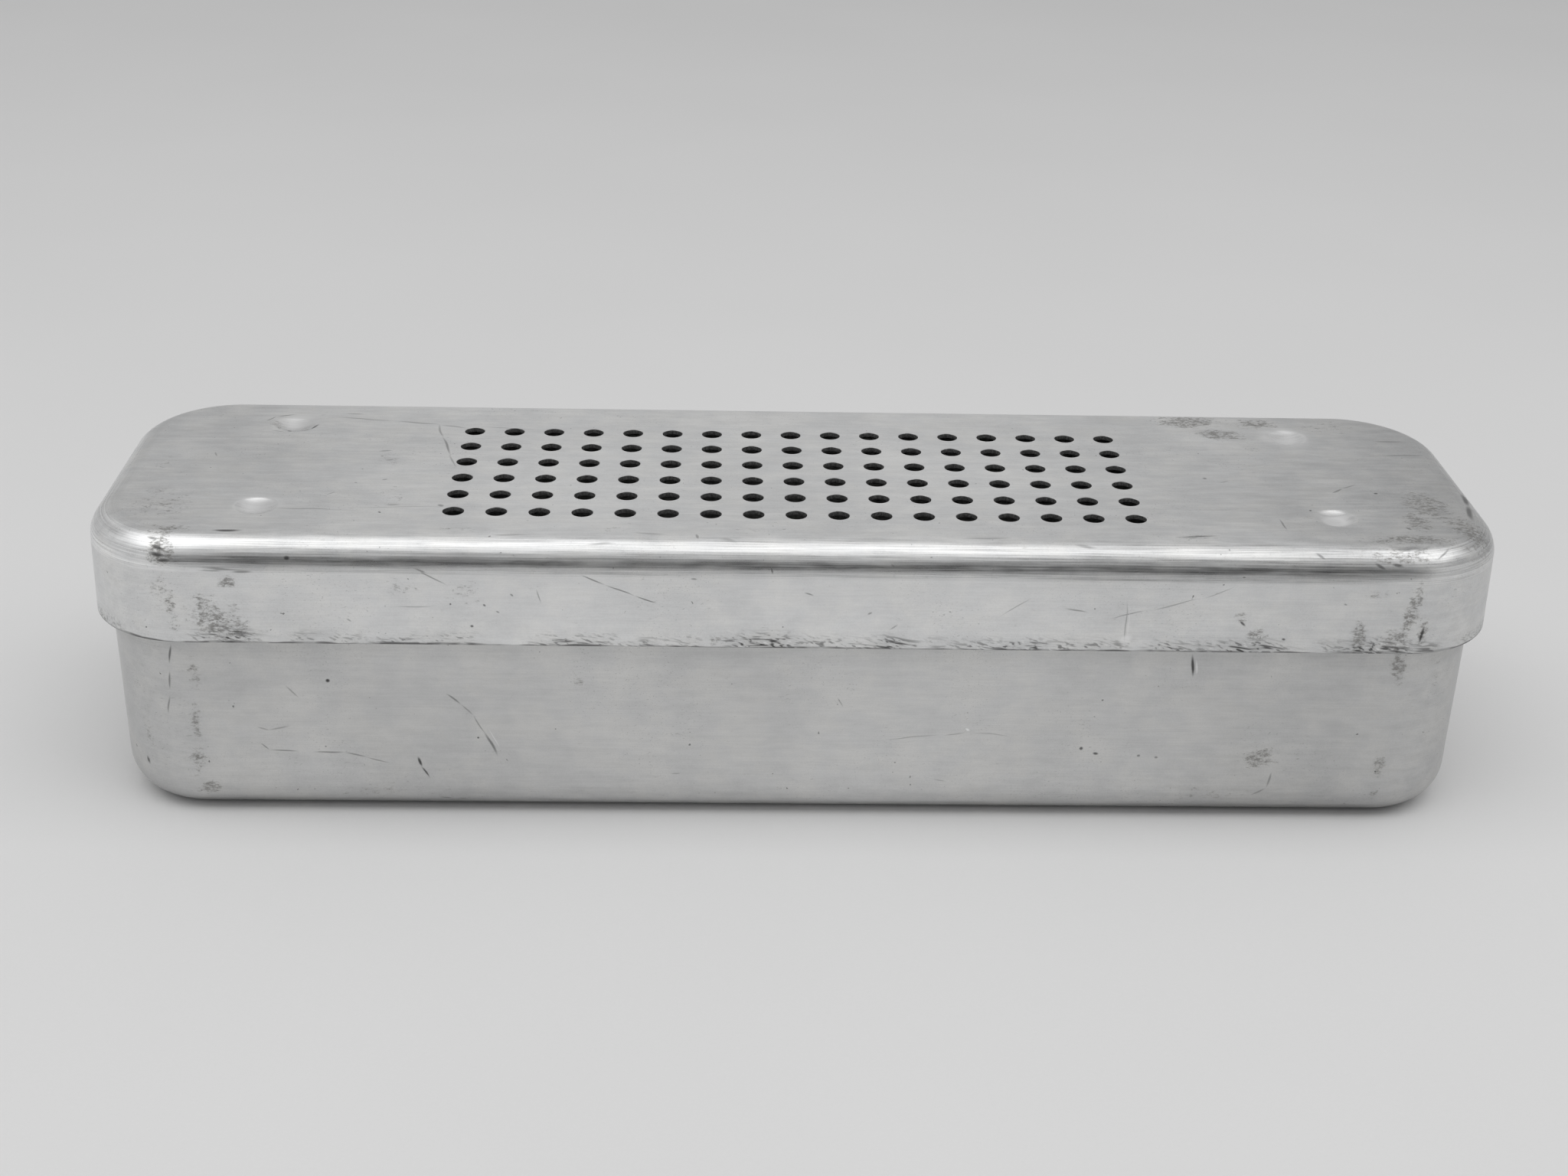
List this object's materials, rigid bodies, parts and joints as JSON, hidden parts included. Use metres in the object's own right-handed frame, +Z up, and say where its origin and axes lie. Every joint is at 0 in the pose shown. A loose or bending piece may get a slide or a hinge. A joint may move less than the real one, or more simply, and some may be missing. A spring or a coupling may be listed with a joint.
{
  "type": "endoscope case",
  "caption": "Long drawn metal sterilising case for a rigid scope: round-cornered pan, perforated slip-over lid, and notched silicone cradles and hold-down pads inside.",
  "frame": {"origin": "middle of the pan's underside, on the table", "axes": "+X along the case, +Y across it to the back, +Z up, the way the lid lifts"},
  "size_m": [0.3338, 0.0918, 0.0743],
  "materials": {
    "drawn_aluminium": "worn, brushed along the length, scratched and stained",
    "rail_aluminium": "satin",
    "silicone": "matt, moulded"
  },
  "bodies": {
    "pan": {"base_pan": "drawn_aluminium", "base_rail_left": "rail_aluminium", "base_rail_right": "rail_aluminium", "cradle_left": "silicone", "cradle_right": "silicone"},
    "lid": {"lid_shell": "drawn_aluminium", "lid_rail_left": "rail_aluminium", "lid_rail_right": "rail_aluminium", "pad_left": "silicone", "pad_right": "silicone"}
  },
  "joints": [
    {"name": "lid_lift", "type": "slide", "parent": "pan", "child": "lid", "axis": [0, 0, 1], "range_m": [0, 0.05]}
  ]
}
